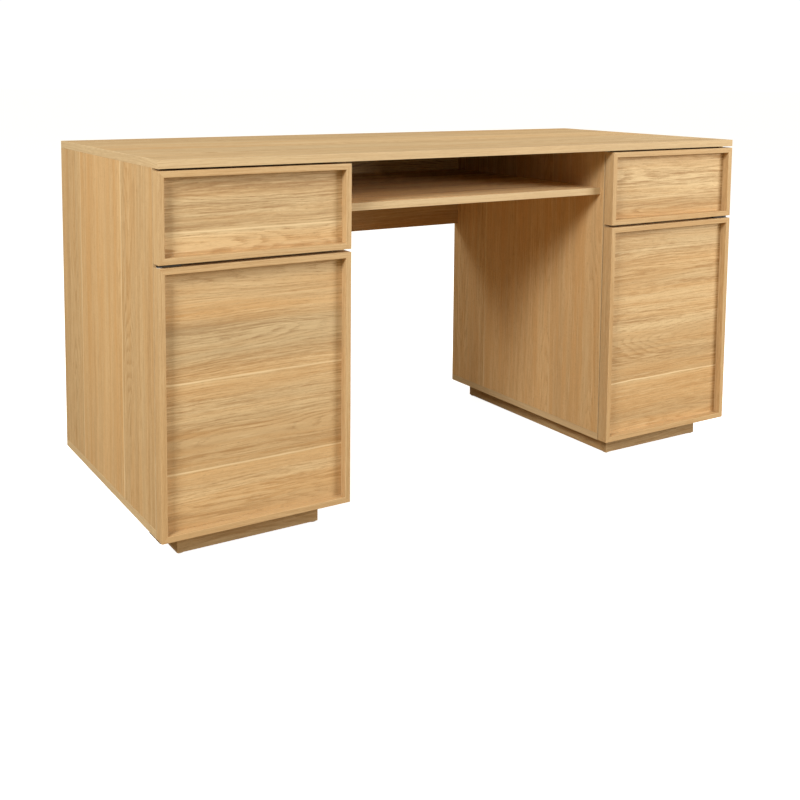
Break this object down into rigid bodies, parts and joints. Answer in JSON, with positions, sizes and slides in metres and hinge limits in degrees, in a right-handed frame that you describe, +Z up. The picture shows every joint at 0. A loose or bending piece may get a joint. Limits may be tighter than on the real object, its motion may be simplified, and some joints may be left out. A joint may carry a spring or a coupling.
{
  "type": "teacher desk",
  "caption": "Twin-pedestal desk with a drawer over a cupboard each side, a fixed shelf over the knee space, framed fronts and recessed plinths.",
  "frame": {"origin": "on the floor under the middle of the desktop", "axes": "+X along the desk's length towards its right pedestal as seen by someone facing the drawers, +Y from the drawers and doors to the back, +Z up"},
  "size_m": [1.5, 0.63, 0.76],
  "materials": {
    "oak_top": "matt lacquered oak veneer, grain along the length",
    "oak_board": "matt lacquered oak veneer, upright grain",
    "oak_panel": "matt lacquered oak veneer, level grain",
    "oak_lipping": "matt lacquered solid oak",
    "drawer_board": "satin lacquered birch plywood",
    "drawer_bottom": "satin lacquered thin plywood",
    "beech": "bare fluted beech",
    "zinc_steel": "bright zinc plated",
    "nylon": "natural nylon",
    "black_plastic": "matt moulded"
  },
  "bodies": {
    "desk_frame": {"desktop": "oak_top", "centre_shelf": "oak_board", "modesty_panel": "oak_board", "left_outer_side": "oak_board", "left_inner_side": "oak_board", "left_floor_board": "oak_board", "left_back_board": "oak_board", "left_divider": "oak_board", "left_cupboard_shelf": "oak_board", "left_plinth_front": "oak_board", "left_plinth_back": "oak_board", "left_plinth_sides": "oak_board", "left_pivot_plates": "zinc_steel", "left_slide_outer": "zinc_steel", "right_outer_side": "oak_board", "right_inner_side": "oak_board", "right_floor_board": "oak_board", "right_back_board": "oak_board", "right_divider": "oak_board", "right_cupboard_shelf": "oak_board", "right_plinth_front": "oak_board", "right_plinth_back": "oak_board", "right_plinth_sides": "oak_board", "right_pivot_plates": "zinc_steel", "right_slide_outer": "zinc_steel", "dowels": "beech", "shelf_pegs": "zinc_steel", "cam_fittings": "zinc_steel", "floor_screws": "zinc_steel", "glides": "black_plastic", "door_catches": "black_plastic"},
    "left_door": {"left_door_panel": "oak_panel", "left_door_stiles": "oak_lipping", "left_door_rails": "oak_lipping", "left_door_bushes": "nylon", "left_catch_plate": "zinc_steel"},
    "left_drawer": {"left_drawer_panel": "oak_panel", "left_drawer_stiles": "oak_lipping", "left_drawer_rails": "oak_lipping", "left_drawer_box_front": "drawer_board", "left_drawer_box_sides": "drawer_board", "left_drawer_box_back": "drawer_board", "left_drawer_bottom": "drawer_bottom", "left_slide_inner": "zinc_steel"},
    "left_slide_middle": {"left_slide_middle": "zinc_steel"},
    "right_door": {"right_door_panel": "oak_panel", "right_door_stiles": "oak_lipping", "right_door_rails": "oak_lipping", "right_door_bushes": "nylon", "right_catch_plate": "zinc_steel"},
    "right_drawer": {"right_drawer_panel": "oak_panel", "right_drawer_stiles": "oak_lipping", "right_drawer_rails": "oak_lipping", "right_drawer_box_front": "drawer_board", "right_drawer_box_sides": "drawer_board", "right_drawer_box_back": "drawer_board", "right_drawer_bottom": "drawer_bottom", "right_slide_inner": "zinc_steel"},
    "right_slide_middle": {"right_slide_middle": "zinc_steel"}
  },
  "joints": [
    {"name": "left_door_hinge", "type": "hinge", "parent": "desk_frame", "child": "left_door", "pos_m": [-0.744, -0.301, 0.306], "axis": [0, 0, -1], "range_deg": [0, 110]},
    {"name": "left_drawer_slide", "type": "slide", "parent": "desk_frame", "child": "left_drawer", "axis": [0, -1, 0], "range_m": [0, 0.45]},
    {"name": "left_slide_extension", "type": "slide", "parent": "desk_frame", "child": "left_slide_middle", "axis": [0, -1, 0], "range_m": [0, 0.225]},
    {"name": "right_door_hinge", "type": "hinge", "parent": "desk_frame", "child": "right_door", "pos_m": [0.744, -0.301, 0.306], "axis": [0, 0, 1], "range_deg": [0, 110]},
    {"name": "right_drawer_slide", "type": "slide", "parent": "desk_frame", "child": "right_drawer", "axis": [0, -1, 0], "range_m": [0, 0.45]},
    {"name": "right_slide_extension", "type": "slide", "parent": "desk_frame", "child": "right_slide_middle", "axis": [0, -1, 0], "range_m": [0, 0.225]}
  ],
  "couplings": [
    {"joint": "left_slide_extension", "follows": "left_drawer_slide", "ratio": 0.5},
    {"joint": "right_slide_extension", "follows": "right_drawer_slide", "ratio": 0.5}
  ]
}
